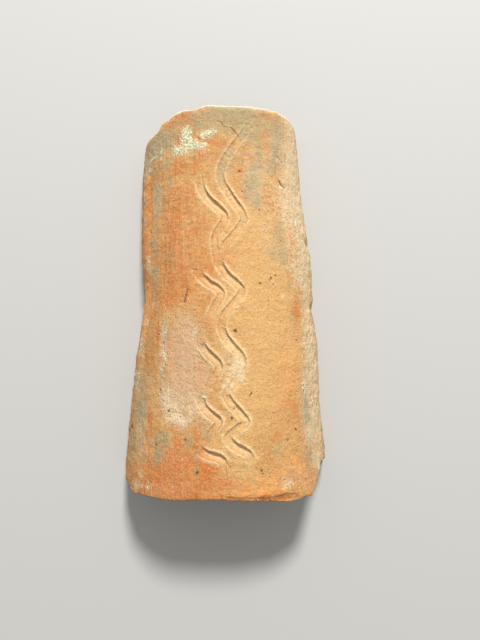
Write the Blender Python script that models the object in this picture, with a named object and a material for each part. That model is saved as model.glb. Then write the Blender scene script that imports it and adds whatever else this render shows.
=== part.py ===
"""Hand-made ridge tile of fired clay.

The tile is modelled as it was made: a slab of clay is cut to shape, two fingers draw a double zigzag
down its middle, and the slab is bent over a tapered mould. It rests on its two long edges, crown up.
X runs across the tile, Y along it from the broad end to the narrow end, and Z up.
"""

import math

import bmesh
import bpy
import numpy as np
from mathutils import Vector

# Size of the tile, in metres
LENGTH = 0.440
BROAD_WIDTH = 0.238
NARROW_WIDTH = 0.192
BROAD_HEIGHT = 0.100
NARROW_HEIGHT = 0.081
WALL = 0.015

# Roundness of the section: 2 is half an ellipse, and more is fuller at the shoulders
FULLNESS = 2.36

# The narrow end sits a little to the right of the broad one, and neither end is cut quite square
NARROW_END_DRIFT = 0.0014
BROAD_END_SKEW = -0.0040
NARROW_END_SKEW = 0.0017

# Where each long edge strays from a straight taper: share of the length, reach, and amount outwards
LEFT_STRAYS = ((0.25, 0.10, -0.0018), (0.48, 0.13, -0.0095), (0.87, 0.12, 0.0042))
RIGHT_STRAYS = ((0.02, 0.07, -0.0045), (0.18, 0.13, -0.0056), (0.61, 0.07, 0.0020), (0.80, 0.08, -0.0014))

# Corners broken or worn off: distance across from the crown where the loss starts, its run, and its depth
NARROW_LEFT_START = 0.046
NARROW_LEFT_RUN = 0.036
NARROW_LEFT_DEPTH = 0.0155
BROAD_RIGHT_START = 0.089
BROAD_RIGHT_RUN = 0.034
BROAD_RIGHT_DEPTH = 0.033
BROAD_LEFT_START = 0.104
BROAD_LEFT_RUN = 0.050
BROAD_LEFT_DEPTH = 0.018

# Worn edges of the rim
OUTER_ROUND = 0.0035
INNER_ROUND = 0.0020

# The double zigzag. A finger pushes deep on its way to the right, and comes back lightly
FINGER_WIDTH = 0.013
PUSH_DEPTH = 0.0032
RIGHT_RETURN_DEPTH = 0.0015
LEFT_RETURN_DEPTH = 0.0008
SWING = 0.022
FINGER_SPACING = 0.0225

# Shares of a stroke over which the finger presses in and lifts, and the share of its depth at both ends
PRESS_IN = 0.40
LIFT = 0.10
END_PRESS = 0.25

# Turns of each finger, from the narrow end down: share of the swing to the right, share of the length
RIGHT_FINGER = (
    ((1.18, 0.925), (0.00, 0.815), (1.16, 0.673), (-0.07, 0.557), (0.86, 0.489), (-0.02, 0.398),
     (0.98, 0.293), (0.11, 0.240), (0.93, 0.175), (0.16, 0.139), (1.18, 0.097)),
)
LEFT_FINGER = (
    ((0.00, 0.784), (1.25, 0.668), (0.57, 0.600)),
    ((0.00, 0.519), (0.91, 0.470), (0.25, 0.414)),
    ((0.00, 0.355), (0.80, 0.300), (0.16, 0.243)),
    ((0.00, 0.224), (0.70, 0.170), (0.23, 0.134)),
    ((0.00, 0.109), (1.02, 0.082)),
)

# Mesh: cells of the slab, cuts in the cells that a finger touches, the share of a cell that counts as
# touched beyond the finger, and steps along the curves
CELLS_ACROSS = 26
CELLS_ALONG = 36
FINE_CUTS = 4
CELL_MARGIN = 0.25
SECTION_STEPS = 720
STROKE_STEPS = 40
OUTER_ROUND_STEPS = 2
INNER_ROUND_STEPS = 1
SHARP_ANGLE = math.radians(40)

# Fired clay
CLAY_COLOUR = (0.56, 0.25, 0.10, 1.0)
CLAY_ROUGHNESS = 0.9


def clear_scene():
    for old in list(bpy.data.objects):
        bpy.data.objects.remove(old, do_unlink=True)


def section_run():
    """Angles from the crown to a long edge, and the share of the section's length run at each."""
    angles = np.linspace(0.0, math.pi / 2, SECTION_STEPS + 1)
    rise = (BROAD_HEIGHT + NARROW_HEIGHT) / ((BROAD_WIDTH + NARROW_WIDTH) / 2)
    across = np.sin(angles) ** (2 / FULLNESS)
    up = rise * np.cos(angles) ** (2 / FULLNESS)
    run = np.concatenate([[0.0], np.cumsum(np.hypot(np.diff(across), np.diff(up)))])
    return angles, run / run[-1], run[-1]


ANGLES, RUN_SHARES, RUN_TO_WIDTH = section_run()


def half_width(side, share):
    """Width from the crown line to a long edge: side is -1 for the left and 1 for the right."""
    taper = (BROAD_WIDTH + (NARROW_WIDTH - BROAD_WIDTH) * share) / 2
    strays = LEFT_STRAYS if side < 0 else RIGHT_STRAYS
    stray = sum(amount * math.exp(-(((share - place) / reach) ** 2)) for place, reach, amount in strays)
    return taper + side * NARROW_END_DRIFT * share + stray


def slab_half_width(side, share):
    """The same width on the flat slab, before it is bent."""
    return RUN_TO_WIDTH * half_width(side, share)


def lost(across, start, run, depth):
    """How far a lost corner has eaten into an end, at a distance across from the crown line."""
    return depth * min(1.0, max(0.0, (across - start) / run))


def broad_end(position):
    """Place of the broad end along the tile, for a position across from -1 to 1."""
    right = lost(position * slab_half_width(1, 0.0), BROAD_RIGHT_START, BROAD_RIGHT_RUN, BROAD_RIGHT_DEPTH)
    left = lost(-position * slab_half_width(-1, 0.0), BROAD_LEFT_START, BROAD_LEFT_RUN, BROAD_LEFT_DEPTH)
    return BROAD_END_SKEW * position + right + left


def narrow_end(position):
    """Place of the narrow end along the tile, for a position across from -1 to 1."""
    left = lost(-position * slab_half_width(-1, 1.0), NARROW_LEFT_START, NARROW_LEFT_RUN, NARROW_LEFT_DEPTH)
    return LENGTH + NARROW_END_SKEW * position - left


def on_slab(position, share):
    """Metres across and along the flat slab."""
    along = broad_end(position) + (narrow_end(position) - broad_end(position)) * share
    side = -1 if position < 0 else 1
    return position * slab_half_width(side, along / LENGTH), along


def stroke(start, end, line, return_depth):
    """Points and depths of one finger stroke, steep at its turns and slanting between them."""
    deepest = PUSH_DEPTH if end[0] > start[0] else return_depth
    for step in range(STROKE_STEPS + 1):
        run = step / STROKE_STEPS
        eased = run * run * (3 - 2 * run)
        across = line + (start[0] + (end[0] - start[0]) * eased) * SWING
        along = (start[1] + (end[1] - start[1]) * run) * LENGTH
        press = END_PRESS + (1 - END_PRESS) * min(1.0, run / PRESS_IN, (1 - run) / LIFT)
        yield across, along, press * deepest


def zigzag():
    """All points that the two fingers pressed, as rows of across, along and depth."""
    points = []
    fingers = ((RIGHT_FINGER, 0.0, RIGHT_RETURN_DEPTH), (LEFT_FINGER, -FINGER_SPACING, LEFT_RETURN_DEPTH))
    for runs, line, return_depth in fingers:
        for turns in runs:
            for start, end in zip(turns, turns[1:]):
                points.extend(stroke(start, end, line, return_depth))
    return np.array(points)


def bend(position, along, depth):
    """Point of the tile for a place on the slab: depth is measured square to the section."""
    share = along / LENGTH
    side = -1 if position < 0 else 1
    width = half_width(side, share)
    height = BROAD_HEIGHT + (NARROW_HEIGHT - BROAD_HEIGHT) * share
    angle = np.interp(abs(position), RUN_SHARES, ANGLES)
    out = math.sin(angle) ** (2 / FULLNESS)
    up = max(0.0, math.cos(angle)) ** (2 / FULLNESS)
    slope = (out ** (FULLNESS - 1) / width, up ** (FULLNESS - 1) / height)
    square = depth / math.hypot(*slope)
    x = side * (width * out - slope[0] * square)
    return x, along - LENGTH / 2, height * up - slope[1] * square


def cut_slab(mesh):
    """Flat slab in shares: X from -1 to 1 across, Y from 0 to 1 along, and Z 0 outside and -1 inside."""
    bmesh.ops.create_grid(mesh, x_segments=CELLS_ACROSS, y_segments=CELLS_ALONG, size=1.0)
    for vertex in mesh.verts:
        vertex.co.y = (vertex.co.y + 1) / 2
    inside = bmesh.ops.extrude_face_region(mesh, geom=mesh.faces[:])["geom"]
    for vertex in inside:
        if isinstance(vertex, bmesh.types.BMVert):
            vertex.co.z = -1.0


def refine_under(mesh, pressed):
    """Cuts the outer cells that a finger touches into finer ones."""
    cell = max(LENGTH / CELLS_ALONG, slab_half_width(1, 0.0) * 2 / CELLS_ACROSS)
    touch = FINGER_WIDTH / 2 + cell * CELL_MARGIN
    touched = set()
    for face in mesh.faces:
        if any(vertex.co.z < 0 for vertex in face.verts):
            continue
        middle = face.calc_center_median()
        across, along = on_slab(middle.x, middle.y)
        if np.hypot(pressed[:, 0] - across, pressed[:, 1] - along).min() < touch:
            touched.update(face.edges)
    edges = [edge for edge in mesh.edges if edge in touched]
    bmesh.ops.subdivide_edges(mesh, edges=edges, cuts=FINE_CUTS, use_grid_fill=True)


def press_and_bend(mesh, pressed):
    """Presses the strokes into the outer face, and bends the slab over the mould."""
    for vertex in mesh.verts:
        position, inward = vertex.co.x, -vertex.co.z
        across, along = on_slab(position, vertex.co.y)
        away = np.hypot(pressed[:, 0] - across, pressed[:, 1] - along) / (FINGER_WIDTH / 2)
        groove = (pressed[:, 2] * (1 + np.cos(np.pi * np.minimum(away, 1))) / 2).max()
        vertex.co = bend(position, along, inward * WALL + groove * (1 - inward))


def rim_edges(mesh, inward):
    """Edges all round the flat slab, of its outer face (inward 0) or its inner face (inward 1)."""
    def goes_through(face):
        return {vertex.co.z for vertex in face.verts} == {0.0, -1.0}

    level = [edge for edge in mesh.edges if all(vertex.co.z == -inward for vertex in edge.verts)]
    return [edge for edge in level if any(goes_through(face) for face in edge.link_faces)]


def round_edges(mesh, edges, radius, steps):
    bmesh.ops.bevel(mesh, geom=edges, offset=radius, offset_type="OFFSET", segments=steps,
                    profile=0.5, affect="EDGES", clamp_overlap=True, material=-1)


def centre_footprint(mesh):
    """Moves the tile so that the middle of its footprint is at the origin."""
    for axis in (Vector((1, 0, 0)), Vector((0, 1, 0))):
        places = [vertex.co.dot(axis) for vertex in mesh.verts]
        bmesh.ops.translate(mesh, verts=mesh.verts[:], vec=-axis * (min(places) + max(places)) / 2)


def fired_clay():
    material = bpy.data.materials.new("fired_clay")
    material.use_nodes = True
    shader = material.node_tree.nodes["Principled BSDF"]
    shader.inputs["Base Color"].default_value = CLAY_COLOUR
    shader.inputs["Roughness"].default_value = CLAY_ROUGHNESS
    shader.inputs["Metallic"].default_value = 0.0
    return material


def make_tile(collection):
    mesh = bmesh.new()
    pressed = zigzag()
    cut_slab(mesh)
    refine_under(mesh, pressed)
    outer_rim = rim_edges(mesh, 0.0)
    inner_rim = rim_edges(mesh, 1.0)
    press_and_bend(mesh, pressed)
    bmesh.ops.recalc_face_normals(mesh, faces=mesh.faces[:])
    round_edges(mesh, outer_rim, OUTER_ROUND, OUTER_ROUND_STEPS)
    round_edges(mesh, inner_rim, INNER_ROUND, INNER_ROUND_STEPS)
    centre_footprint(mesh)
    bmesh.ops.triangulate(mesh, faces=mesh.faces[:], quad_method="SHORT_EDGE")
    shape = bpy.data.meshes.new("ridge_tile")
    mesh.to_mesh(shape)
    mesh.free()
    shape.shade_smooth()
    shape.set_sharp_from_angle(angle=SHARP_ANGLE)
    shape.materials.append(fired_clay())
    tile = bpy.data.objects.new("ridge_tile", shape)
    collection.objects.link(tile)


clear_scene()
pieces = bpy.data.collections.new("decorative_ridge_tile")
bpy.context.scene.collection.children.link(pieces)
make_tile(pieces)
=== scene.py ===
"""Looks of a hand-made ridge tile of fired clay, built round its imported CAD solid."""

import math

import bmesh
import bpy
import numpy as np
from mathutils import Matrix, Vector, noise


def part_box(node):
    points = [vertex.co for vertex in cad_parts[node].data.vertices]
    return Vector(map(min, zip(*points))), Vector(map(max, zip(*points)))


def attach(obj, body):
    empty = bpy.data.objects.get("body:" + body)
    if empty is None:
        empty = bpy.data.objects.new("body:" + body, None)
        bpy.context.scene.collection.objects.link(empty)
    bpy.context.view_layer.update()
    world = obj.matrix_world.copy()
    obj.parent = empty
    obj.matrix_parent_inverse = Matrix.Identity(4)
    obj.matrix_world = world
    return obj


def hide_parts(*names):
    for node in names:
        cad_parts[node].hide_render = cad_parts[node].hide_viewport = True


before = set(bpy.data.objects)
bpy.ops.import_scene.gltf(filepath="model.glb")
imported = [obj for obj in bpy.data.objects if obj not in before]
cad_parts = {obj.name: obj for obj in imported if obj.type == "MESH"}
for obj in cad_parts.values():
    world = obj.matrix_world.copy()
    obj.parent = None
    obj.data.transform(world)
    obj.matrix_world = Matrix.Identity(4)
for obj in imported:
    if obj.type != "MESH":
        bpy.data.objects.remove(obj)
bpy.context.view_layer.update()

# Slab. The tile starts as a slab of soft clay, rolled flat and trimmed to a taper on a sanded board.
# Here it is a grid in shares: X from -1 to 1 across, Y from 0 to 1 along, and Z 0 outside and -1 inside.
MM = 0.001
LENGTH = 440 * MM
BROAD_WIDTH = 238 * MM
NARROW_WIDTH = 192 * MM
BROAD_HEIGHT = 100 * MM
NARROW_HEIGHT = 81 * MM
WALL = 15 * MM
FULLNESS = 2.36
NARROW_END_DRIFT = 1.4 * MM

# Where each long edge strays from a straight taper: share of the length, reach, and amount outwards
LEFT_STRAYS = ((0.25, 0.10, -1.8 * MM), (0.48, 0.13, -9.5 * MM), (0.87, 0.12, 4.2 * MM))
RIGHT_STRAYS = (
    (0.02, 0.07, -4.5 * MM), (0.18, 0.13, -5.6 * MM), (0.61, 0.07, 2.0 * MM), (0.80, 0.08, -1.4 * MM),
)

# Both ends are uneven, and three corners are broken or worn off: millimetres across, and millimetres set back
NARROW_END = (
    (-144, 15.5), (-119, 14.5), (-95, 19.5), (-85, 20.5), (-79, 18.5), (-76, 16.5), (-74.5, 9.0),
    (-68, 7.5), (-61, 6.5), (-55, 5.0), (-49.5, 3.0), (-38, 2.0), (-29.5, 2.8), (-24.5, 1.0), (-18, -0.5),
    (-9, -1.0), (0, 0.0), (12, 0.5), (44, 0.5), (54, -1.5), (60, -2.0), (65, -0.5), (71, -2.0), (78, 0.0),
    (95, -1.2), (144, -1.7),
)
BROAD_END = (
    (-178, 22.0), (-150, 19.5), (-130, 13.5), (-115, 6.0), (-106, 4.5), (-92, 4.5), (-84, 3.5), (-71, 2.5),
    (-49, 1.5), (-30, 1.2), (-15, 2.0), (0, 0.5), (14, -0.5), (40, -2.0), (52, -4.0), (60, -4.4),
    (69, -4.0), (76, -3.4), (81, -1.6), (85, -1.0), (91, -2.0), (95, -1.8), (97, 1.0), (98.5, 4.5),
    (102, 8.0), (105, 11.5), (109, 14.5), (112, 20.5), (115, 25.5), (121.5, 29.5), (126, 32.0), (178, 29.0),
)
RAGGED = 0.8 * MM
RAGGED_GRAIN = 5 * MM
BROAD_SEED, NARROW_SEED = 1.3, 4.9

CELLS_ACROSS = 84
CELLS_ALONG = 116
WALL_CUTS = 6
DETAIL_CUTS = 2
SECTION_STEPS = 720


def section_run():
    """Angles from the crown to a long edge, and the share of the section's length run at each."""
    angles = np.linspace(0.0, math.pi / 2, SECTION_STEPS + 1)
    rise = (BROAD_HEIGHT + NARROW_HEIGHT) / ((BROAD_WIDTH + NARROW_WIDTH) / 2)
    across = np.sin(angles) ** (2 / FULLNESS)
    up = rise * np.cos(angles) ** (2 / FULLNESS)
    run = np.concatenate([[0.0], np.cumsum(np.hypot(np.diff(across), np.diff(up)))])
    return angles, run / run[-1], run[-1]


ANGLES, RUN_SHARES, RUN_TO_WIDTH = section_run()


def clay_noise(places, grain, seed=0.0):
    """Smooth noise from -1 to 1 with lumps of the given size, at rows of places in metres."""
    shift = Vector((seed, 0.0, seed))
    return np.array([noise.noise(Vector(place) + shift) for place in np.asarray(places) / grain])


def flat(across, along=0.0):
    """Rows of places on the flat slab, for the noise."""
    return np.stack(np.broadcast_arrays(across, along, 0.0), axis=-1)


def strays(bumps, share):
    """How far a long edge strays outwards at a share of the length."""
    return sum(amount * np.exp(-(((share - place) / reach) ** 2)) for place, reach, amount in bumps)


def half_width(position, share):
    """Width from the crown line to the long edge on this side of it."""
    taper = (BROAD_WIDTH + (NARROW_WIDTH - BROAD_WIDTH) * share) / 2
    left = taper - NARROW_END_DRIFT * share + strays(LEFT_STRAYS, share)
    right = taper + NARROW_END_DRIFT * share + strays(RIGHT_STRAYS, share)
    return np.where(position < 0, left, right)


def set_back(across, line, seed):
    """How far an end is set back at a distance across, with its small unevenness."""
    rows = np.array(line) * MM
    return np.interp(across, rows[:, 0], rows[:, 1]) + RAGGED * clay_noise(flat(across), RAGGED_GRAIN, seed)


def on_slab(position, share):
    """Metres across from the crown line and along from the broad end."""
    broad = set_back(position * RUN_TO_WIDTH * half_width(position, 0.0), BROAD_END, BROAD_SEED)
    narrow = LENGTH - set_back(position * RUN_TO_WIDTH * half_width(position, 1.0), NARROW_END, NARROW_SEED)
    along = broad + (narrow - broad) * share
    return position * RUN_TO_WIDTH * half_width(position, along / LENGTH), along


def bend(position, along, depth):
    """Places on the bent tile. Depth is measured square to the section, from the outside."""
    share = along / LENGTH
    width = half_width(position, share)
    height = BROAD_HEIGHT + (NARROW_HEIGHT - BROAD_HEIGHT) * share
    angle = np.interp(abs(position), RUN_SHARES, ANGLES)
    out = np.sin(angle) ** (2 / FULLNESS)
    up = np.maximum(0, np.cos(angle)) ** (2 / FULLNESS)
    slope_out, slope_up = out ** (FULLNESS - 1) / width, up ** (FULLNESS - 1) / height
    square = depth / np.hypot(slope_out, slope_up)
    x = np.sign(position) * (width * out - slope_out * square)
    return np.column_stack([x, along - LENGTH / 2, height * up - slope_up * square])


def cut_slab():
    """The flat slab in shares, with finer cells outside, where the eye looks, than inside."""
    slab = bmesh.new()
    bmesh.ops.create_grid(slab, x_segments=CELLS_ACROSS, y_segments=CELLS_ALONG, size=1.0)
    bmesh.ops.translate(slab, verts=slab.verts[:], vec=(0, 1, 0))
    bmesh.ops.scale(slab, verts=slab.verts[:], vec=(1, 0.5, 1))
    inside = bmesh.ops.extrude_face_region(slab, geom=slab.faces[:])["geom"]
    inside = [part for part in inside if isinstance(part, bmesh.types.BMVert)]
    bmesh.ops.translate(slab, verts=inside, vec=(0, 0, -1))
    upright = [edge for edge in slab.edges if edge.verts[0].co.z != edge.verts[1].co.z]
    bmesh.ops.subdivide_edges(slab, edges=upright, cuts=WALL_CUTS, use_grid_fill=True)
    outside = [edge for edge in slab.edges if all(vertex.co.z == 0 for vertex in edge.verts)]
    bmesh.ops.subdivide_edges(slab, edges=outside, cuts=1, use_grid_fill=True)
    return slab


# Zigzag. Before the slab is bent, two fingers side by side draw it down the middle of the soft clay.
# They push deep on the way to the right, with a steep far wall, and come back lightly with a flat floor.
# Each line is given by points: millimetres across from the crown line, along from the middle, and depth.
RIGHT_FINGER = (
    (35.0, 193.0, 0.4), (26.5, 180.5, 0.9), (18.0, 168.5, 1.1), (9.5, 155.5, 1.1), (3.5, 144.0, 1.0),
    (0.5, 134.0, 1.0), (0.5, 125.0, 1.1), (3.0, 116.5, 1.6), (7.5, 109.0, 2.4), (12.0, 101.0, 2.6),
    (17.0, 93.0, 2.5), (21.5, 86.0, 2.2), (24.5, 78.5, 1.6), (25.0, 73.5, 1.1), (19.5, 64.5, 1.2),
    (14.0, 57.0, 1.3), (8.0, 50.0, 1.3), (3.0, 43.5, 0.9), (-0.5, 34.0, 0.4), (-2.5, 26.0, 1.0),
    (-1.0, 19.5, 2.4), (3.5, 12.0, 2.8), (8.5, 6.5, 2.8), (13.5, 2.0, 2.5), (17.5, -3.0, 1.8),
    (20.5, -8.0, 1.3), (18.5, -13.5, 1.3), (13.0, -20.0, 1.4), (7.5, -26.5, 1.4), (3.0, -32.0, 1.2),
    (0.0, -38.5, 0.6), (-2.0, -46.0, 1.0), (0.0, -54.5, 2.4), (5.5, -63.5, 2.8), (10.5, -69.5, 2.8),
    (16.0, -76.0, 2.6), (19.0, -82.0, 1.8), (19.5, -89.5, 1.0), (16.0, -97.5, 0.6), (10.0, -105.5, 0.5),
    (4.0, -112.5, 0.8), (1.5, -117.5, 1.4), (4.0, -123.0, 2.4), (7.5, -128.0, 2.8), (12.0, -133.0, 2.8),
    (17.0, -139.0, 2.8), (20.5, -143.5, 2.2), (20.0, -147.0, 1.5), (14.0, -150.5, 1.4), (9.0, -154.0, 1.3),
    (4.0, -158.0, 1.2), (2.5, -161.0, 1.5), (7.0, -166.5, 2.6), (11.5, -170.0, 2.8), (16.5, -172.5, 2.8),
    (21.0, -175.5, 2.4), (24.0, -179.5, 1.2), (24.0, -183.5, 0.2),
)
LEFT_FINGER = (
    ((-23.0, 125.0, 0.3), (-22.5, 119.0, 1.2), (-21.0, 111.5, 2.2), (-16.5, 103.0, 3.0), (-12.0, 97.5, 3.0),
     (-7.0, 92.5, 3.0), (-1.5, 86.5, 3.0), (3.0, 81.0, 2.4), (4.0, 75.0, 1.6), (0.5, 68.0, 1.2),
     (-4.0, 61.0, 1.3), (-7.0, 53.0, 1.2), (-7.0, 43.5, 1.1), (-5.5, 33.0, 1.0), (-5.0, 23.0, 0.4)),
    ((-25.0, 14.0, 0.2), (-23.0, 9.5, 1.6), (-19.0, 5.5, 2.6), (-14.5, 1.0, 3.0), (-9.0, -2.0, 3.0),
     (-5.0, -5.5, 2.8), (-2.0, -10.0, 1.8), (-3.0, -15.5, 1.3), (-6.0, -20.5, 1.2), (-9.5, -27.0, 1.1),
     (-12.5, -33.5, 0.8), (-15.0, -39.0, 0.2)),
    ((-24.5, -63.0, 0.2), (-22.0, -67.5, 2.0), (-18.5, -72.5, 2.8), (-14.5, -76.5, 3.0), (-9.5, -81.5, 3.0),
     (-6.0, -86.0, 2.4), (-5.5, -91.0, 1.3), (-8.0, -96.0, 1.0), (-11.5, -102.0, 0.8), (-14.5, -109.0, 0.3)),
    ((-24.5, -117.5, 0.3), (-24.0, -123.0, 1.5), (-22.5, -128.0, 2.4), (-19.5, -132.0, 2.8),
     (-15.5, -136.0, 3.0), (-11.0, -139.5, 3.2), (-7.5, -142.5, 2.8), (-7.0, -146.0, 1.4),
     (-9.5, -150.0, 0.9), (-13.5, -154.5, 0.8), (-16.5, -159.5, 0.3)),
    ((-26.0, -170.5, 0.2), (-22.5, -173.5, 1.8), (-17.5, -176.0, 2.8), (-12.5, -177.5, 3.4),
     (-7.5, -179.0, 3.4), (-4.0, -181.5, 2.6), (-1.5, -185.5, 0.8), (-1.0, -189.0, 0.2)),
)
FINGER_HALF_WIDTH = 4.3 * MM
PUSH_LEAN = 2.4 * MM
RETURN_LEAN = 0.8 * MM
PUSH_WALLS = 2.0
RETURN_WALLS = 3.5
LIP_WIDTH = 0.9 * MM
LIP_HEIGHT = 0.22
SWINGING = 2.5
STEPS_BETWEEN = 8
LIP_ENDS = 0.5 * MM


def smooth_line(points):
    """Points eased between the given ones, so that the line passes through each of them without a corner."""
    points = np.array(points) * MM
    ends = np.vstack([2 * points[0] - points[1], points, 2 * points[-1] - points[-2]])
    run = np.linspace(0, 1, STEPS_BETWEEN, endpoint=False)[:, None]
    spans = []
    for before, start, end, after in zip(ends, ends[1:], ends[2:], ends[3:]):
        bend_in, bend_out = (end - before) / 2, (after - start) / 2
        curve = 3 * (end - start) - 2 * bend_in - bend_out
        spans.append(start + run * (bend_in + run * (curve + run * (bend_in + bend_out - 2 * (end - start)))))
    return np.vstack(spans + [points[-1:]])


def finger_strokes():
    """Each stroke to the right or back: its points, the directions along it, its depths, and its swing."""
    for points in (RIGHT_FINGER,) + LEFT_FINGER:
        line = smooth_line(points)
        ahead = np.gradient(line[:, :2], axis=0)
        ahead /= np.linalg.norm(ahead, axis=1)[:, None]
        swing = np.clip(SWINGING * ahead[:, 0], -1, 1)
        turns = np.flatnonzero(np.diff(np.sign(ahead[:, 0]))) + 1
        for stroke in np.split(np.arange(len(line)), turns):
            yield line[stroke, :2], ahead[stroke], line[stroke, 2], swing[stroke]


def zigzag(places):
    """Depth that the fingers pressed at rows of slab places, and height of the lips that they raised."""
    groove, lip = np.zeros(len(places)), np.zeros(len(places))
    half = FINGER_HALF_WIDTH
    for line, ahead, deep, swing in finger_strokes():
        low, high = line.min(0) - 3 * half, line.max(0) + 3 * half
        near = np.flatnonzero(((places > low) & (places < high)).all(1))
        gap = places[near, None, :] - line[None, :, :]
        closest = np.hypot(gap[..., 0], gap[..., 1]).argmin(1)
        gap = gap[np.arange(len(near)), closest]
        ahead, deep, swing = ahead[closest], deep[closest], swing[closest]
        beside = gap[:, 1] * ahead[:, 0] - gap[:, 0] * ahead[:, 1]
        past = (gap * ahead).sum(1)
        pushed = np.maximum(swing, 0)
        lean = PUSH_LEAN * pushed - RETURN_LEAN * np.maximum(-swing, 0)
        reach = half - np.sign(beside - lean) * lean
        out = np.hypot((beside - lean) / reach, past / half)
        walls = RETURN_WALLS + (PUSH_WALLS - RETURN_WALLS) * pushed
        groove[near] = np.maximum(groove[near], deep * (1 - np.minimum(out, 1) ** walls))
        beyond = np.maximum(0, (out - 1) * reach / LIP_WIDTH)
        lip[near] = np.maximum(lip[near], deep * LIP_HEIGHT * beyond * np.exp(1 - beyond))
    return groove, lip * np.clip(1 - groove / LIP_ENDS, 0, 1)


# Wear. Grit burnt or fell out and left pits, drying opened cracks, and knocks dented and chipped it.
# Places are in millimetres: across from the crown line, along from the middle.

# Pits: across, along, radius, depth
PITS = (
    (12.5, -51.5, 2.0, 1.9), (22.0, 134.0, 1.6, 1.6), (41.0, 1.0, 1.5, 1.4), (53.5, 7.5, 1.5, 1.3),
    (59.0, 10.5, 1.2, 1.1), (56.0, 1.0, 1.0, 0.9), (52.0, 5.0, 1.1, 0.9), (50.0, -14.0, 0.8, 0.8),
    (49.5, -18.5, 1.0, 0.9), (50.0, -23.0, 0.8, 0.8), (68.5, 93.0, 1.2, 0.9), (43.5, 87.0, 1.3, 1.1),
    (24.0, 109.0, 1.3, 1.0), (30.0, 115.5, 1.3, 0.8), (68.5, 52.5, 1.0, 0.8), (70.0, 25.5, 1.0, 0.7),
    (106.5, 21.5, 1.6, 0.9), (14.0, -28.0, 1.1, 0.9), (7.0, -141.0, 2.0, 1.3), (9.5, -131.5, 1.4, 0.8),
    (75.5, -154.5, 1.4, 1.3), (65.0, -164.0, 1.5, 1.1), (35.5, -192.5, 1.5, 1.5), (36.5, -195.0, 1.0, 0.9),
    (59.0, -202.0, 1.3, 1.2), (-29.0, -192.5, 1.6, 1.3), (4.5, -187.5, 1.2, 0.9),
    (-119.5, -147.5, 2.6, 1.4), (-59.5, -132.0, 1.6, 1.2), (-46.0, -138.0, 1.0, 0.8),
    (-41.0, -161.0, 1.3, 1.0), (-74.5, -165.5, 1.4, 0.9), (-60.0, 30.0, 1.2, 0.7), (-74.0, -50.0, 1.3, 0.9),
    (-88.0, 72.0, 1.4, 0.9), (83.0, -60.0, 1.3, 0.8), (-29.0, 18.0, 1.2, 0.9), (-70.0, -110.0, 1.3, 0.9),
    (-66.0, -60.0, 1.2, 0.9), (-64.0, -84.0, 1.2, 0.8),
)
PIT_UNEVEN = 0.7
PIT_GRAIN = 1.5 * MM
# Dents and swellings: across, along, reach across, reach along, depth
DENTS = (
    (-47.0, -132.0, 13.0, 12.0, 0.9), (11.0, -94.0, 8.0, 17.0, 1.2), (77.5, 129.0, 4.5, 5.0, -0.7),
    (76.5, 124.0, 3.4, 1.6, 0.9), (67.0, -24.0, 3.0, 7.0, 0.5), (-67.5, 47.0, 12.0, 40.0, 0.8),
    (-30.0, -10.0, 9.0, 40.0, -0.5), (7.5, 28.0, 5.0, 4.0, -0.5), (134.0, 63.0, 26.0, 5.5, 3.0),
    (134.0, -16.0, 26.0, 7.5, 3.4), (134.0, -32.0, 30.0, 16.0, 1.6), (-20.0, 100.0, 6.0, 30.0, 0.5),
    (68.0, -60.0, 14.0, 60.0, 0.5), (50.0, 60.0, 12.0, 40.0, -0.4), (-90.0, -100.0, 10.0, 40.0, 0.6),
    (2.0, 133.0, 7.0, 20.0, 0.6),
)
# Cracks and scratches: half width, depth, and their points
CRACKS = (
    (1.0, 1.1, ((-38.3, -4.0), (-39.5, -10.0), (-41.5, -17.5))),
    (0.6, 0.9, ((12.5, 190.5), (17.0, 186.5), (21.5, 179.0))),
    (0.6, 0.7, ((2.0, 197.0), (5.5, 191.5), (9.0, 190.5))),
    (0.9, 0.30, ((27.5, 166.0), (27.0, 152.0), (25.5, 142.0))),
    (0.8, 1.0, ((28.0, -116.0), (25.5, -119.5))),
    (0.6, 0.7, ((19.0, 1.0), (24.0, -4.5))),
    (0.5, 0.3, ((-11.5, 70.0), (-9.5, 58.0), (-11.0, 48.0), (-9.0, 34.0), (-8.0, 22.0))),
    (0.5, 0.4, ((-20.5, -73.0), (-15.0, -83.0))),
    (0.5, 0.5, ((-11.5, -89.5), (-15.5, -98.5), (-19.0, -108.0))),
    (0.5, 0.5, ((0.0, -187.5), (1.0, -198.5))),
    (0.5, 0.25, ((-32.0, 145.0), (-28.5, 128.0), (-25.5, 112.5))),
    (0.6, 0.35, ((-33.0, 18.5), (-26.5, 17.5))),
    (0.8, 1.4, ((71.5, 127.5), (73.5, 123.5), (78.5, 121.5))),
    (1.0, 0.5, (
        (2.0, -216.0), (20.0, -217.5), (38.0, -218.5), (54.0, -217.5), (62.0, -216.0), (74.0, -216.5))),
    (0.6, 0.7, ((68.5, 160.5), (73.0, 158.0), (77.0, 154.0))),
    (0.5, 0.6, ((-27.0, -72.0), (-22.0, -80.5), (-16.0, -86.0))),
)
# Chips out of the rim: across, along, reach across, reach along, depth
CHIPS = (
    (-68.0, 212.0, 9.0, 6.0, 1.6), (-30.0, 219.0, 6.0, 4.0, 1.2), (50.0, -222.0, 36.0, 4.5, 3.0),
    (5.0, -221.0, 16.0, 3.0, 2.2), (-30.0, -220.0, 12.0, 3.0, 0.8), (-118.0, -212.0, 14.0, 8.0, 1.4),
)
# Coarse, weathered ground: across, along, reaches, and height of its grain
COARSE = (
    (122, -60, 22, 170, 0.75), (108, 140, 20, 90, 0.60), (-126, -60, 26, 170, 0.50),
    (-108, 150, 22, 90, 0.40), (-66, -70, 6, 36, 0.25), (0, -214, 90, 8, 0.25), (42, 150, 24, 60, 0.35),
    (0, 206, 60, 14, 0.25),
)
COARSE_GRAIN = 8 * MM
FINE_REACH = 3.5 * MM
FINE_FROM = 0.08 * MM


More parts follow.
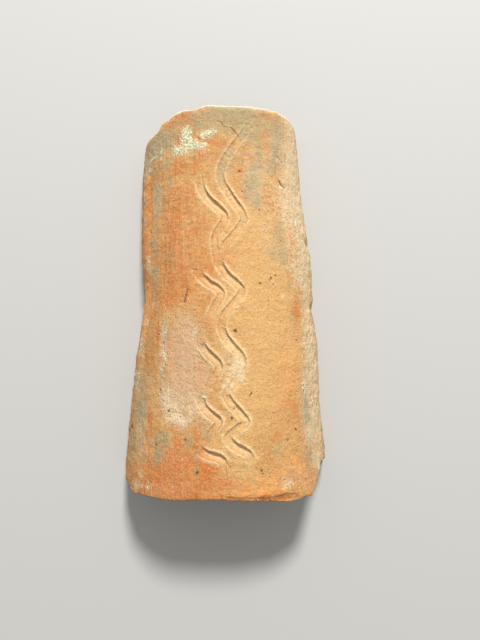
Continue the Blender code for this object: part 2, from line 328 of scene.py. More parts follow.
def soft_spots(places, rows):
    """Sum of soft round spots at rows of slab places, each with its own depth."""
    total = np.zeros(len(places))
    for across, along, reach_across, reach_along, depth in rows:
        away = ((places[:, 0] / MM - across) / reach_across) ** 2
        away += ((places[:, 1] / MM - along) / reach_along) ** 2
        total += depth * MM * np.exp(-away)
    return total


def pits(places):
    """Depth of the pits at rows of slab places."""
    deepest = np.zeros(len(places))
    for across, along, radius, depth in PITS:
        away = np.hypot(places[:, 0] / MM - across, places[:, 1] / MM - along) / radius
        near = np.flatnonzero(away < 2)
        away = away[near] * (1 + PIT_UNEVEN * clay_noise(flat(*places[near].T), PIT_GRAIN, radius))
        deepest[near] = np.maximum(deepest[near], depth * MM * (1 - np.minimum(away, 1) ** 2))
    return deepest


def distance_to(points, places):
    """Distance in metres from rows of slab places to a line through points."""
    points = np.array(points) * MM
    nearest = np.full(len(places), np.inf)
    for start, end in zip(points, points[1:]):
        run = np.clip((places - start) @ (end - start) / ((end - start) @ (end - start)), 0, 1)
        nearest = np.minimum(nearest, np.linalg.norm(places - start - run[:, None] * (end - start), axis=1))
    return nearest


def cracks(places):
    """Depth of the cracks and scratches at rows of slab places."""
    deepest = np.zeros(len(places))
    for half, depth, points in CRACKS:
        deepest = np.maximum(deepest, depth * MM * np.exp(-(distance_to(points, places) / (half * MM)) ** 2))
    return deepest


def from_middle(across, along):
    """Rows of slab places, with the length counted from the middle."""
    return np.column_stack([across, along - LENGTH / 2])


def refine_details(slab):
    """Cuts the outer cells finer again where a finger, a pit or a crack needs it."""
    faces = [face for face in slab.faces if all(vertex.co.z == 0 for vertex in face.verts)]
    middles = np.array([face.calc_center_median()[:2] for face in faces])
    across, along = on_slab(middles[:, 0], middles[:, 1])
    places = from_middle(across, along)
    groove, lip = zigzag(places)
    wanted = groove + lip > FINE_FROM
    for pit_across, pit_along, radius, _ in PITS:
        away = np.hypot(places[:, 0] - pit_across * MM, places[:, 1] - pit_along * MM)
        wanted |= away < radius * MM + FINE_REACH
    for _, _, points in CRACKS:
        wanted |= distance_to(points, places) < FINE_REACH
    chosen = {edge for face, fine in zip(faces, wanted) if fine for edge in face.edges}
    edges = [edge for edge in slab.edges if edge in chosen]
    bmesh.ops.subdivide_edges(slab, edges=edges, cuts=DETAIL_CUTS, use_grid_fill=True)


# Firing and age, and painted light on the flanks. Stains as they lie on the clay, in millimetres: across,
# along, reaches, and strength.
STAINS = {
    "ochre": (
        (-108, -60, 14, 60, 0.5), (34, -17, 34, 80, 0.9), (40, 52, 30, 48, 0.6), (38, -102, 30, 52, 0.9),
        (13, -170, 28, 44, 0.7), (1, -49, 18, 66, 0.3), (66, -48, 31, 68, 0.7), (-8, 52, 16, 48, 0.3),
        (0, -200, 20, 14, 0.4), (10, 95, 22, 40, 0.35), (70, 60, 20, 60, 0.3), (70, -150, 20, 50, 0.3),
    ),
    # Its strong rows along the left flank, from -100 to -150 across, are partly a flashed orange and partly
    # painted light, keeping that flank bright where it faces away from the lamp
    "flashed": (
        (-100, 62, 12, 84, 1.0), (-104, 126, 12, 26, 0.9), (-104, -14, 11, 44, 1.0),
        (-150, 40, 40, 90, 0.6), (-120, -60, 14, 50, 0.3), (36, -205, 34, 11, 0.4), (76, -198, 14, 16, 0.5),
        (60, -184, 16, 16, 0.3), (70, -90, 20, 50, 0.3), (36, -213, 32, 4, 0.6), (113, -92, 11, 60, 0.5),
        (-96, -186, 20, 22, 0.35),
    ),
    "burnt": (
        (-50, -187, 46, 28, 0.6), (-40, -207, 74, 11, 0.45), (-21, -188, 13, 12, 0.9),
        (-92, -206, 24, 12, 0.4), (62, -108, 26, 50, 0.25), (-62, 80, 34, 80, 0.35), (-58, 0, 30, 30, 0.3),
        (-59, 199, 6, 6, 0.7), (-47, 182, 5, 12, 0.8), (-28, 178, 4, 8, 0.8), (-50, 146, 10, 10, 0.7),
        (-28, 144, 4, 12, 0.6), (-43, 115, 11, 4, 0.4), (-18, 160, 9, 8, 0.6), (-8, 175, 9, 8, 0.5),
        (5, 171, 12, 6, 0.6), (-24, 148, 6, 12, 0.4), (-44, 204, 20, 10, 0.75), (22, 135, 7, 5, 0.6),
        (-4, 150, 3, 4, 0.6), (57, 210, 8, 8, 0.9), (44, 208, 4, 5, 0.5), (54, 187, 5, 8, 0.5),
        (54, 163, 4, 10, 0.35), (54, 150, 4, 8, 0.4), (36, 154, 5, 8, 0.6), (82, 60, 6, 14, 0.8),
        (87, 33, 7, 6, 0.7), (85, -27, 6, 18, 0.7), (78, -134, 11, 10, 0.5), (54, -162, 6, 8, 0.35),
        (84, -161, 6, 5, 0.5), (70, -202, 11, 5, 0.6), (-148, 1, 15, 18, 0.9), (-82, -27, 6, 4, 0.6),
        (-73, -50, 4, 19, 0.8), (-57, -60, 5, 11, 0.5), (-56, -80, 5, 7, 0.5), (-26, -85, 4, 16, 0.5),
        (-20, -104, 5, 8, 0.5), (-78, -96, 4, 8, 0.5), (-81, -140, 4, 14, 0.8), (-88, -156, 6, 5, 0.6),
        (-86, -174, 6, 8, 0.6), (-49, -166, 6, 14, 0.8), (-56, -177, 9, 10, 0.6), (-36, -182, 5, 5, 0.8),
        (-22, -184, 6, 8, 0.9), (-30, -158, 5, 8, 0.7), (-30, -168, 3, 3, 0.8), (-82, -186, 14, 4, 0.6),
        (-72, -200, 12, 6, 0.7), (-47, -211, 21, 4, 0.6), (-2, -204, 29, 6, 0.3), (36, -219, 36, 3.5, 1.0),
        (-12, -215, 30, 2, 0.7), (-105, 126, 25, 44, 0.3), (-110, 71, 16, 32, 0.3), (-104, 26, 15, 24, 0.4),
        (-54, 56, 10, 36, 0.3), (-42, 2, 7, 22, 0.3), (-60, -12, 16, 12, 0.4), (9, 34, 11, 18, 0.2),
        (-10, -48, 10, 16, 0.2), (-14, 12, 25, 34, 0.48), (-14, 62, 24, 24, 0.32),
    ),
    "film": (
        (-79, 111, 9, 24, 0.7), (36, 114, 13, 24, 0.75), (40, 148, 14, 30, 0.5), (-100, -139, 12, 26, 0.7),
        (93, -142, 9, 44, 0.7), (-104, -98, 12, 30, 0.4), (-86, 60, 9, 26, 0.4), (-106, 166, 16, 26, 0.9),
        (-84, 176, 14, 16, 0.5), (100, -60, 10, 40, 0.4), (72, 36, 12, 26, 0.4), (72, 176, 14, 30, 0.5),
        (-56, 158, 12, 12, 0.4), (-84, 20, 8, 18, 0.4), (-92, -176, 12, 14, 0.4), (70, 145, 24, 44, 0.36),
        (52, 60, 16, 56, 0.32), (2, -84, 12, 26, 0.3),
    ),
    # The wide faint row at 0 across, 160 along greys the whole narrow end, so that it is darker than the
    # middle
    "patina": (
        (24, 203, 66, 22, 0.75), (-50, 196, 40, 14, 0.3), (-96, 186, 20, 22, 0.5), (0, 160, 110, 40, 0.25),
        (-69, 183, 22, 16, 0.9), (-86, 176, 20, 14, 0.9), (-67, 152, 8, 6, 0.8), (-84, 147, 10, 5, 0.7),
        (-60, 127, 5, 6, 0.7), (-80, 118, 9, 12, 0.7), (-78, 96, 8, 15, 0.55), (-84, 63, 8, 22, 0.45),
        (-84, 21, 8, 14, 0.5), (-24, 198, 5, 7, 0.6), (6, 208, 26, 9, 0.8), (31, 184, 8, 12, 0.8),
        (27, 204, 7, 11, 0.5), (36, 205, 4, 11, 0.5), (42, 180, 5, 11, 0.6), (46, 158, 3, 24, 0.8),
        (38, 140, 6, 8, 0.7), (35, 117, 9, 14, 0.8), (41, 96, 6, 9, 0.7), (28, 102, 4, 7, 0.5),
        (72, 192, 10, 12, 0.8), (69, 170, 9, 12, 0.7), (65, 148, 7, 12, 0.7), (10, 158, 7, 8, 0.8),
        (2, 138, 5, 15, 0.9), (0, 120, 4, 7, 0.5), (66, 64, 10, 20, 0.5), (56, 36, 11, 16, 0.4),
        (70, 34, 6, 14, 0.6), (76, 4, 4, 5, 0.7), (78, -34, 6, 16, 0.4), (92, -128, 7, 15, 0.8),
        (93, -144, 7, 8, 0.6), (92, -180, 8, 14, 0.6), (59, -184, 9, 8, 0.3), (66, -199, 6, 4, 0.6),
        (54, -174, 6, 8, 0.4), (-96, -102, 10, 15, 0.6), (-96, -129, 9, 15, 0.8), (-104, -131, 7, 15, 0.6),
        (-96, -160, 7, 14, 0.5), (-111, -166, 8, 18, 0.6), (-72, -160, 8, 8, 0.9), (-72, -176, 7, 9, 0.9),
        (-91, -180, 8, 4, 0.8), (-62, -160, 5, 10, 0.6), (-36, -161, 4, 6, 0.8), (-30, -177, 3, 8, 0.6),
        (-28, -190, 4, 6, 0.6), (-18, -154, 4, 7, 0.7), (-18, -163, 4, 4, 0.5), (20, -187, 6, 6, 0.5),
        (24, -176, 5, 5, 0.4), (-65, -94, 4, 10, 0.6), (-64, -50, 4, 13, 0.6), (24, 76, 4, 6, 0.6),
        (-60, 36, 7, 9, 0.4),
    ),
    "bloom": (
        (-44, -84, 34, 58, 0.5), (112, -66, 12, 42, 0.5), (116, -136, 14, 40, 0.5),
        (76, -202, 22, 14, 0.35), (-56, -176, 30, 20, 0.25), (-64, -208, 36, 10, 0.3),
        (-36, -48, 11, 19, 0.7), (-50, -68, 9, 32, 0.6), (-38, -90, 11, 26, 0.7), (-31, -64, 8, 15, 0.6),
        (-48, -126, 20, 20, 0.8), (-61, -120, 11, 16, 0.7), (-30, -120, 10, 20, 0.5),
        (-66, -67, 6, 37, 0.6), (-20, -90, 6, 21, 0.4), (-42, -145, 15, 6, 0.5), (-86, -108, 8, 21, 0.3),
        (-21, -146, 6, 8, 0.4),
    ),
    "whitewash": (
        (-18, 164, 8, 8, 0.5), (-50, -128, 17, 15, 0.4), (14, -87, 8, 14, 0.9), (4, -106, 8, 12, 0.6),
        (18, -100, 5, 10, 0.6), (6, -65, 6, 8, 0.5), (-65, -45, 4, 9, 0.45), (-66, -69, 4, 13, 0.5),
        (-66, -90, 4, 11, 0.45), (-62, -114, 8, 12, 0.5), (-61, -128, 5, 6, 0.6), (-55, -138, 8, 4, 0.8),
        (-42, -142, 10, 4, 0.8), (-36, -132, 3, 8, 0.6), (-29, -54, 5, 9, 0.5), (59, -205, 4, 6, 0.7),
        (68, -12, 5, 3, 0.6), (75, 120, 8, 4, 0.6), (-23, -118, 2, 2, 1), (-103, -206, 12, 5, 0.8),
        (-95, -194, 6, 4, 0.6), (-87, -14, 4, 4, 0.6), (-101, -33, 10, 5, 0.8), (-156, -48, 16, 7, 0.6),
        (56, 3, 4, 4, 0.3), (41, 3, 3, 3, 0.3),
    ),
    # Its rows on the right flank, from 90 across outwards, are partly a cream film and partly painted light,
    # lifting that flank where the lamp lights it less
    "cream": (
        (108, 186, 16, 46, 0.8), (108, 128, 18, 45, 0.8), (90, 150, 18, 60, 0.6), (110, 82, 18, 39, 0.8),
        (112, 38, 24, 26, 0.8), (110, -10, 12, 24, 0.8), (80, 96, 20, 36, 0.6), (96, 211, 16, 12, 0.7),
        (98, -140, 16, 40, 0.3), (116, -120, 26, 70, 0.65), (118, -168, 20, 26, 0.35),
        (108, -188, 12, 12, 0.7), (94, 12, 12, 17, 0.5), (108, -60, 16, 54, 0.45), (82, 40, 12, 50, 0.3),
        (18, 217, 41, 3, 0.9), (51, 218, 25, 2, 0.7), (-51, 216, 19, 3, 0.4), (-92, 198, 17, 6, 0.6),
        (118, -60, 26, 44, 0.35), (138, 40, 34, 60, 0.45), (150, -96, 28, 60, 0.35),
        (132, 150, 30, 50, 0.5), (150, -20, 20, 26, 0.4),
    ),
    "lime": (
        (-38, 188, 6, 7, 1), (-38, 178, 5, 5, 1), (-36, 170, 9, 6, 1), (-29, 168, 4, 4, 0.9),
        (-52, 164, 4, 7, 1), (-45, 164, 5, 5, 1), (-12, 184, 6, 5, 1), (-20, 181, 4, 3, 0.9),
        (-6, 184, 3, 2, 0.8), (-18, 168, 4, 3, 0.8), (-23, 166, 2, 2, 0.7), (-88, 164, 6, 3, 0.9),
        (-72, 170, 2, 5, 0.6), (-72, 162, 2, 3, 0.6), (-94, 154, 4, 3, 0.6), (-110, 122, 5, 9, 0.5),
        (-105, 88, 4, 10, 0.5), (-100, 38, 5, 9, 0.6), (-92, 27, 4, 6, 0.5), (91, -110, 3, 8, 0.6),
        (-82, -206, 5, 3, 0.5), (64, -206, 3, 3, 0.6), (-66, -50, 2, 6, 0.3), (-64, -69, 2, 10, 0.3),
        (-66, -86, 2, 5, 0.3), (-23, -118, 2, 2, 0.9), (90, 104, 6, 4, 0.5), (94, 79, 6, 5, 0.5),
        (-108, -58, 10, 12, 0.5), (-116, -96, 10, 11, 0.5),
    ),
}
STAIN_WANDER = 4 * MM
STAIN_GRAIN = 11 * MM
CRUST = 0.7 * MM
CRUST_GRAIN = 2.5 * MM
CRUST_EVEN, CRUST_UNEVEN = 0.6, 0.8
STAIN_EDGE = 1.25


def stain(places, rows):
    """Strength of one kind of stain, from 0 to 1, at rows of slab places."""
    clear = np.ones(len(places))
    for across, along, reach_across, reach_along, strength in rows:
        away = ((places[:, 0] / MM - across) / reach_across) ** 2
        away += ((places[:, 1] / MM - along) / reach_along) ** 2
        clear *= 1 - strength * np.exp(-(away ** STAIN_EDGE))
    return 1 - clear


# Bending. The slab is laid over a tapered mould, and its surface is lumpy from the hands that pressed it.
RIM_WEAR = 3
RIM_REACH = 6 * MM
RIM_SHINE = 1.5 * MM
# Heights and depths at which the painted highlight on lips and grooves, and the darker colour of pits and
# cracks, reach full strength
LIP_SHOWS = 0.45 * MM
GROOVE_SHOWS = 3 * MM
GROOVE_FADE = 1.5
PIT_SHOWS = 0.9 * MM
CRACK_SHOWS = 1.0 * MM
# How fast stains, the pale rim (worn and with a painted highlight), and chips, fade from the outside into the
# wall
STAIN_FADE = 3
CHIP_FADE = 2
# Share of a broken end's roughness that the long edges have, and of the wiping that shows everywhere
SIDES_BROKEN = 0.4
WIPED_ELSEWHERE = 0.4
COARSE_SWELL = 1.5
# Where the wiping shows most: across, along, reach across, reach along, strength
WIPED_AREAS = (
    (-58, 70, 34, 110, 1.0), (-50, -60, 30, 60, 0.5), (60, -40, 30, 60, 0.25), (0, 100, 20, 60, 0.3),
)
LUMPS = ((70 * MM, 0.9 * MM), (20 * MM, 0.60 * MM), (9 * MM, 0.60 * MM))
PEBBLY = (3.8 * MM, 0.38 * MM)
BROKEN_LUMPS = ((7 * MM, 0.7 * MM), (3 * MM, 0.4 * MM))
WIPED = (4 * MM, 90 * MM, 0.33 * MM)

slab = cut_slab()
refine_details(slab)
shares = np.array([vertex.co[:] for vertex in slab.verts])
position, share, inward = shares[:, 0], shares[:, 1], -shares[:, 2]
across, along = on_slab(position, share)
base = bend(position, along, inward * WALL)
low, high = (np.array(corner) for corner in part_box("ridge_tile"))
base[:, :2] += ((low + high) / 2 - (base.min(0) + base.max(0)) / 2)[:2]
for vertex, place in zip(slab.verts, base):
    vertex.co = place
bmesh.ops.recalc_face_normals(slab, faces=slab.faces[:])

# The rim is worn round all the way
to_side = (1 - abs(position)) * RUN_TO_WIDTH * half_width(position, along / LENGTH)
to_end = np.minimum(share, 1 - share) * LENGTH
worn = (inward > 0) & (inward < 1) | (np.minimum(to_side, to_end) < RIM_REACH)
rim = [vertex for vertex, near in zip(slab.verts, worn) if near]
for _ in range(RIM_WEAR):
    bmesh.ops.smooth_vert(slab, verts=rim, factor=0.5, use_axis_x=True, use_axis_y=True, use_axis_z=True)
slab.normal_update()

places = from_middle(across, along)
shape = np.array([vertex.co[:] for vertex in slab.verts])
square = np.array([vertex.normal[:] for vertex in slab.verts])
outside = inward == 0
groove, lip = np.zeros(len(shape)), np.zeros(len(shape))
groove[outside], lip[outside] = zigzag(places[outside])
pitted = np.where(outside, pits(places), 0)
cracked = np.where(outside, cracks(places), 0)
wander = np.column_stack([clay_noise(shape, STAIN_GRAIN, seed) for seed in (3.1, 7.7)]) * STAIN_WANDER
stains = {name: stain(places + wander, rows) * (1 - inward) ** STAIN_FADE for name, rows in STAINS.items()}

depth = groove - lip + pitted + cracked + np.where(outside, soft_spots(places, DENTS), 0)
depth += soft_spots(places, CHIPS) * (1 - inward) ** CHIP_FADE
for grain, height in LUMPS:
    depth += height * clay_noise(shape, grain, grain / MM)
grain, height = PEBBLY
coarse = soft_spots(places, COARSE) * (1 - inward)
pebbles = (height + coarse) * clay_noise(shape, grain, grain / MM)
depth += pebbles + COARSE_SWELL * coarse * clay_noise(shape, COARSE_GRAIN, 6.0)
fresh = np.sin(np.pi * inward) * (to_end < RIM_REACH)
fresh += SIDES_BROKEN * np.sin(np.pi * inward) * (to_side < RIM_REACH)
for grain, height in BROKEN_LUMPS:
    depth += height * fresh * clay_noise(shape, grain, grain / MM + 5)
across_wipe, along_wipe, wipe_depth = WIPED
wiped = soft_spots(places, WIPED_AREAS) / MM + WIPED_ELSEWHERE
depth += wipe_depth * wiped * clay_noise(shape / (across_wipe, along_wipe, across_wipe), 1.0, 11.0)
depth -= CRUST * stains["lime"] * (CRUST_EVEN + CRUST_UNEVEN * clay_noise(shape, CRUST_GRAIN, 2.0))
shape -= square * depth[:, None]
shape[:, 2] = np.maximum(shape[:, 2], 0)
for vertex, place in zip(slab.verts, shape):
    vertex.co = place
bmesh.ops.triangulate(slab, faces=slab.faces[:], quad_method="SHORT_EDGE")

tile_mesh = bpy.data.meshes.new("ridge_tile_clay")
slab.to_mesh(tile_mesh)
slab.free()
tile_mesh.shade_smooth()
marks = dict(stains)
# Pits and cracks, which are coloured darker below
marks["hollow"] = np.clip(pitted / PIT_SHOWS + cracked / CRACK_SHOWS, 0, 1)
# Groove and lip shares, which paint a highlight over the grooves, for their lit walls, and on the lips
marks["groove"] = np.clip(groove / GROOVE_SHOWS, 0, 1) ** GROOVE_FADE
marks["lip_highlight"] = np.clip(lip / LIP_SHOWS, 0, 1)
# The pale rim along the narrow end and the long edges: partly wear, partly a painted highlight where the worn
# edge catches the lamp
to_rim = np.where(share > 0.5, np.minimum(to_end, to_side), to_side)
marks["rim"] = np.exp(-(to_rim / RIM_SHINE) ** 2) * (1 - inward) ** STAIN_FADE
marks["wiped"] = np.clip(soft_spots(places, WIPED_AREAS) / MM, 0, 1)
marks["inside"] = inward
for name, values in marks.items():
    layer = tile_mesh.attributes.new(name, "FLOAT", "POINT")
    layer.data.foreach_set("value", values.astype(np.float32))
tile = bpy.data.objects.new("ridge_tile_clay", tile_mesh)
bpy.context.scene.collection.objects.link(tile)


# Fired clay. Low-fired earthenware, sanded on the board and wiped along with a wet hand: porous and matt,
# speckled with grit, and stained by smoke, lime and growth. Colours are sRGB.
def linear(hex_colour):
    """Linear RGBA of an sRGB hex colour."""
    parts = [int(hex_colour[place:place + 2], 16) / 255 for place in (1, 3, 5)]
    parts = [part / 12.92 if part <= 0.04045 else ((part + 0.055) / 1.055) ** 2.4 for part in parts]
    return (*parts, 1.0)


TERRACOTTA = "#bf884c"
TERRACOTTA_RED = "#b87138"
TERRACOTTA_PALE = "#c6995f"
CLAY_GREY = "#ab8c62"
INNER_CLAY = "#b57f52"
INNER_DUST = "#bf9a70"
# Darker colour for the pits and cracks
PIT_AND_CRACK_DARK = "#5f4128"
GROWTH = "#7d7c58"
GRIT_PALE = "#e2cb9a"
GRIT_DARK = "#6a4325"
# Painted highlight for the groove walls and lips that face the lamp
LIT_WALL_HIGHLIGHT = "#e4ca9a"
# Pale rim: worn clay with a painted highlight on it
RIM_WEAR_AND_HIGHLIGHT = "#f8eed2"

# Colour of each stain, how far its outline breaks up in patches and in specks, and how much it covers
STAIN_LOOKS = {
    "ochre": ("#cea064", 1.0, 0.5, 0.85),
    # Flashed orange, pale and strong partly as painted light on the left flank
    "flashed": ("#e89f59", 1.2, 0.6, 0.90),
    "burnt": ("#c26624", 1.4, 0.8, 0.75),
    "bloom": ("#c6a482", 1.6, 1.0, 0.75),
    "cream": ("#d6c19b", 1.8, 1.2, 0.85),
    "film": ("#c4b696", 1.6, 1.0, 0.65),
    "patina": ("#9b8c69", 1.8, 1.2, 0.85),
    "whitewash": ("#dccdaa", 1.8, 1.6, 0.62),
    "lime": ("#d2d8ba", 1.0, 6.0, 0.90),
}
STAIN_SOFTNESS = 0.35

# Sizes of the patterns. The real grit is under a millimetre and its specks are closer, and both are drawn
# coarser than that, so that they still show from where the tile is looked at.
GRIT = 1.8 * MM
PORES = 2.2 * MM
MOTTLE = 4.5 * MM
PATCH = 11 * MM
CLOUD = 30 * MM
WIPE = 2.8 * MM
WIPE_STRETCH = 0.06
SPECK_SPACING = 4.2 * MM


def add_node(tree, kind, inputs=None, output=0, **settings):
    """Adds a node to a material, sets it up, sets or links its inputs, and returns one of its outputs."""
    node = tree.nodes.new("ShaderNode" + kind)
    for name, value in settings.items():
        setattr(node, name, value)
    for socket, value in (inputs or {}).items():
        if isinstance(value, bpy.types.NodeSocket):
            tree.links.new(value, node.inputs[socket])
        else:
            node.inputs[socket].default_value = value
    return node.outputs[output]


clay = bpy.data.materials.new("fired_clay_weathered")
clay.use_nodes = True
tree = clay.node_tree
place = add_node(tree, "TexCoord", output="Object")
lengthways = add_node(tree, "Mapping", {"Vector": place, "Scale": (1, WIPE_STRETCH, 1)})
grit = add_node(tree, "TexNoise", {"Vector": place, "Scale": 1 / GRIT, "Detail": 4, "Roughness": 0.65})
mottle = add_node(tree, "TexNoise", {"Vector": place, "Scale": 1 / MOTTLE, "Detail": 6, "Roughness": 0.65})
patch = add_node(tree, "TexNoise", {"Vector": place, "Scale": 1 / PATCH, "Detail": 6, "Roughness": 0.7})
cloud = add_node(tree, "TexNoise", {"Vector": place, "Scale": 1 / CLOUD, "Detail": 5, "Roughness": 0.6})
wipes = add_node(tree, "TexNoise", {"Vector": lengthways, "Scale": 1 / WIPE, "Detail": 5, "Roughness": 0.6})
specks = add_node(tree, "TexVoronoi", {"Vector": place, "Scale": 1 / SPECK_SPACING})
cell_kind = specks.node.outputs["Color"]

# Clay body, cloudy from the fire
share = add_node(tree, "MapRange", {"Value": cloud, "From Min": 0.38, "From Max": 0.62})
colour = add_node(
    tree, "MixRGB", {"Fac": share, "Color1": linear(TERRACOTTA), "Color2": linear(TERRACOTTA_PALE)})
share = add_node(tree, "MapRange", {"Value": patch, "From Min": 0.52, "From Max": 0.66, "To Max": 0.7})
colour = add_node(tree, "MixRGB", {"Fac": share, "Color1": colour, "Color2": linear(TERRACOTTA_RED)})
share = add_node(tree, "MapRange", {"Value": patch, "From Min": 0.46, "From Max": 0.34, "To Max": 0.6})
colour = add_node(tree, "MixRGB", {"Fac": share, "Color1": colour, "Color2": linear(CLAY_GREY)})
for low, high, tint in ((0.54, 0.68, TERRACOTTA_RED), (0.46, 0.32, TERRACOTTA_PALE)):
    share = add_node(tree, "MapRange", {"Value": mottle, "From Min": low, "From Max": high, "To Max": 0.75})
    colour = add_node(tree, "MixRGB", {"Fac": share, "Color1": colour, "Color2": linear(tint)})

# Streaks of the wiping hand, darker and paler
mark = add_node(tree, "Attribute", output="Fac", attribute_name="wiped")
for low, high, tint in ((0.54, 0.66, TERRACOTTA_RED), (0.46, 0.34, TERRACOTTA_PALE)):
    share = add_node(tree, "MapRange", {"Value": wipes, "From Min": low, "From Max": high, "To Max": 0.85})
    share = add_node(tree, "Math", {0: share, 1: mark}, operation="MULTIPLY")
    colour = add_node(tree, "MixRGB", {"Fac": share, "Color1": colour, "Color2": linear(tint)})

# Stains, each broken up by the grain of the clay
for name, (stain_colour, patchiness, speckle, cover) in STAIN_LOOKS.items():
    strength = add_node(tree, "Attribute", output="Fac", attribute_name=name)
    patchy = add_node(tree, "Math", {0: mottle, 1: patchiness, 2: strength}, operation="MULTIPLY_ADD")
    patchy = add_node(tree, "Math", {0: grit, 1: speckle, 2: patchy}, operation="MULTIPLY_ADD")
    middle = 0.5 + 0.5 * (patchiness + speckle)
    low, high = middle - STAIN_SOFTNESS, middle + STAIN_SOFTNESS
    share = add_node(tree, "MapRange", {"Value": patchy, "From Min": low, "From Max": high, "To Max": cover})
    present = add_node(tree, "MapRange", {"Value": strength, "From Min": 0.02, "From Max": 0.25})
    share = add_node(tree, "Math", {0: share, 1: present}, operation="MULTIPLY")
    colour = add_node(tree, "MixRGB", {"Fac": share, "Color1": colour, "Color2": linear(stain_colour)})

# Pores of the lime crust, dark with growth
strength = add_node(tree, "Attribute", output="Fac", attribute_name="lime")
pores = add_node(tree, "TexNoise", {"Vector": place, "Scale": 1 / PORES, "Detail": 2, "Roughness": 0.5})
share = add_node(tree, "MapRange", {"Value": pores, "From Min": 0.50, "From Max": 0.40, "To Max": 0.8})
share = add_node(tree, "Math", {0: share, 1: strength}, operation="MULTIPLY")
colour = add_node(tree, "MixRGB", {"Fac": share, "Color1": colour, "Color2": linear(GROWTH)})

# Painted highlights on the grooves, for their lit walls, and on the lips, the pale rim (wear and a painted
# highlight), a darker colour in the pits and cracks, and grit that shows as pale and dark specks
highlight_wear_and_dark_marks = (("groove", LIT_WALL_HIGHLIGHT, 0.6), ("lip_highlight", LIT_WALL_HIGHLIGHT, 0.65), ("rim", RIM_WEAR_AND_HIGHLIGHT, 0.95), ("hollow", PIT_AND_CRACK_DARK, 0.85))
for name, tint, cover in highlight_wear_and_dark_marks:
    mark = add_node(tree, "Attribute", output="Fac", attribute_name=name)
    share = add_node(tree, "Math", {0: mark, 1: cover}, operation="MULTIPLY")
    colour = add_node(tree, "MixRGB", {"Fac": share, "Color1": colour, "Color2": linear(tint)})
share = add_node(tree, "MapRange", {"Value": grit, "From Min": 0.54, "From Max": 0.78, "To Max": 0.5})
colour = add_node(tree, "MixRGB", {"Fac": share, "Color1": colour, "Color2": linear(GRIT_PALE)})
share = add_node(tree, "MapRange", {"Value": grit, "From Min": 0.46, "From Max": 0.22, "To Max": 0.6})
colour = add_node(tree, "MixRGB", {"Fac": share, "Color1": colour, "Color2": linear(GRIT_DARK)})
share = add_node(tree, "MapRange", {"Value": specks, "From Min": 0.17, "From Max": 0.10, "To Max": 0.6})
kind = add_node(tree, "MapRange", {"Value": cell_kind, "From Min": 0.55, "From Max": 0.6})
speck = add_node(tree, "MixRGB", {"Fac": kind, "Color1": linear(GRIT_PALE), "Color2": linear(GRIT_DARK)})
colour = add_node(tree, "MixRGB", {"Fac": share, "Color1": colour, "Color2": speck})

# The inside was never wiped: plain sanded clay with dust on it
share = add_node(tree, "MapRange", {"Value": patch, "From Min": 0.4, "From Max": 0.65})
inner = add_node(tree, "MixRGB", {"Fac": share, "Color1": linear(INNER_CLAY), "Color2": linear(INNER_DUST)})
share = add_node(tree, "MapRange", {"Value": grit, "From Min": 0.45, "From Max": 0.25, "To Max": 0.6})
inner = add_node(tree, "MixRGB", {"Fac": share, "Color1": inner, "Color2": linear(GRIT_DARK)})
mark = add_node(tree, "Attribute", output="Fac", attribute_name="inside")
share = add_node(tree, "MapRange", {"Value": mark, "From Min": 0.15, "From Max": 0.6})
colour = add_node(tree, "MixRGB", {"Fac": share, "Color1": colour, "Color2": inner})

# Fine grain of the surface, which breaks up the light and keeps it from shining
height = add_node(tree, "Math", {0: grit, 1: 0.55, 2: mottle}, operation="MULTIPLY_ADD")
height = add_node(tree, "Math", {0: wipes, 1: 0.7, 2: height}, operation="MULTIPLY_ADD")
relief = add_node(tree, "Bump", {"Height": height, "Strength": 1.0, "Distance": 1.8 * MM})
shader = tree.nodes["Principled BSDF"]
tree.links.new(colour, shader.inputs["Base Color"])
tree.links.new(relief, shader.inputs["Normal"])
shader.inputs["Roughness"].default_value = 0.92
shader.inputs["IOR"].default_value = 1.45
tile_mesh.materials.append(clay)
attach(tile, "root")
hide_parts("ridge_tile")

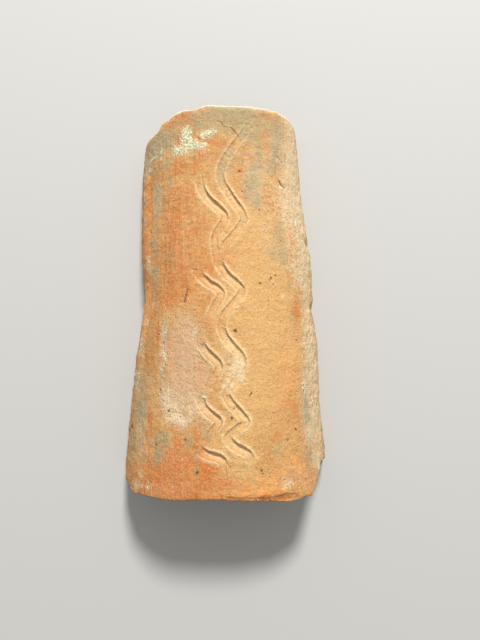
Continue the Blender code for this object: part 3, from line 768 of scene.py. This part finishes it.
# Floor. A plain board, far wider than the tile, which rests on it. Its matt pale paint has no shine, so
# the eye goes to the clay and to the shadow under it.
FLOOR_SIZE = 6.0
board = bmesh.new()
bmesh.ops.create_grid(board, x_segments=1, y_segments=1, size=FLOOR_SIZE / 2)
floor_mesh = bpy.data.meshes.new("floor")
board.to_mesh(floor_mesh)
board.free()
floor_paint = bpy.data.materials.new("pale_paint")
floor_paint.use_nodes = True
paint = floor_paint.node_tree.nodes["Principled BSDF"]
paint.inputs["Base Color"].default_value = linear("#b4b2ad")
paint.inputs["Roughness"].default_value = 0.9
floor_mesh.materials.append(floor_paint)
floor = bpy.data.objects.new("floor", floor_mesh)
bpy.context.scene.collection.objects.link(floor)

# Light. Soft daylight from beyond the narrow end and a little to the right, low enough to show the grooves,
# and a pale sky all round.
KEY_FROM = Vector((0.55, 2.60, 2.90))
KEY_SIZE = 0.80
KEY_POWER = 215
SKY_COLOUR = "#eceef0"
SKY_STRENGTH = 0.60
key_lamp = bpy.data.lights.new("window", "AREA")
key_lamp.shape = "DISK"
key_lamp.size = KEY_SIZE
key_lamp.energy = KEY_POWER
key = bpy.data.objects.new("window", key_lamp)
key.location = KEY_FROM
key.rotation_euler = (-KEY_FROM).to_track_quat("-Z", "Y").to_euler()
key.visible_camera = False
bpy.context.scene.collection.objects.link(key)
sky = bpy.data.worlds.new("sky")
sky.use_nodes = True
backdrop = sky.node_tree.nodes["Background"]
backdrop.inputs["Color"].default_value = linear(SKY_COLOUR)
backdrop.inputs["Strength"].default_value = SKY_STRENGTH
bpy.context.scene.world = sky
bpy.context.scene.view_settings.view_transform = "Standard"

# Camera. It looks down on the tile from nearly overhead, a little from the broad end, with the narrow end
# at the top of the picture.
CAMERA_PLACE = (0.0181, -0.1333, 0.58895)
CAMERA_TURN = (0.18829, 0.0, -0.02711)
CAMERA_LENS = 27.06
camera_data = bpy.data.cameras.new("camera")
camera_data.lens = CAMERA_LENS
camera = bpy.data.objects.new("camera", camera_data)
camera.location = CAMERA_PLACE
camera.rotation_euler = CAMERA_TURN
bpy.context.scene.collection.objects.link(camera)
bpy.context.scene.camera = camera
